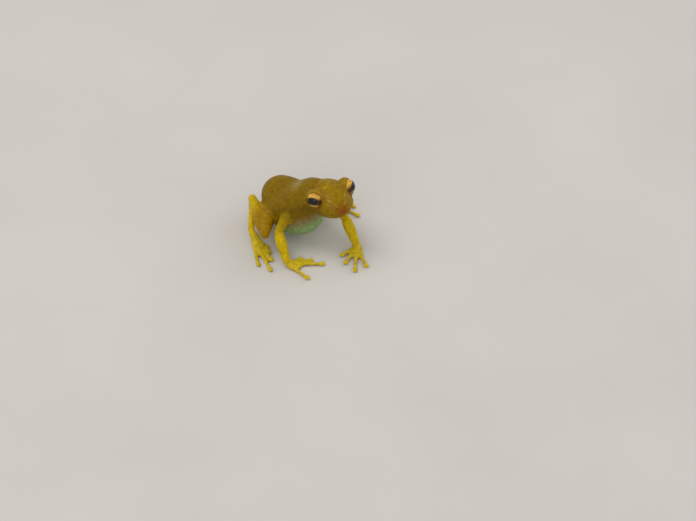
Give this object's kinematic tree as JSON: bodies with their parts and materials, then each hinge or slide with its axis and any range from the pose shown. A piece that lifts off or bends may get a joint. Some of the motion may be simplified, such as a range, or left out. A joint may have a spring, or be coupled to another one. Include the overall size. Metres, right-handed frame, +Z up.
{
  "type": "glass frog",
  "caption": "Young glass frog sitting on the floor with straight arms and folded hind legs, chest held high, head turned a little to its right.",
  "frame": {"origin": "on the floor under the middle of the animal's box", "axes": "+Z up, the trunk faces -Y, +X to the animal's left"},
  "size_m": [0.01, 0.0102, 0.0062],
  "materials": {
    "back_skin": "wet skin, olive yellow and a little translucent",
    "limb_skin": "wet skin, brighter yellow and translucent",
    "digit_skin": "wet skin, pale yellow and translucent",
    "eye": "clear glossy eye, golden iris and black pupil"
  },
  "bodies": {
    "root": {"head": "back_skin", "torso": "back_skin", "eye_left": "eye", "upper_arm_left": "limb_skin", "forearm_left": "limb_skin", "hand_left": "digit_skin", "thigh_left": "limb_skin", "shank_left": "limb_skin", "tarsus_left": "limb_skin", "foot_left": "digit_skin", "eye_right": "eye", "upper_arm_right": "limb_skin", "forearm_right": "limb_skin", "hand_right": "digit_skin", "thigh_right": "limb_skin", "shank_right": "limb_skin", "tarsus_right": "limb_skin", "foot_right": "digit_skin"}
  },
  "joints": []
}
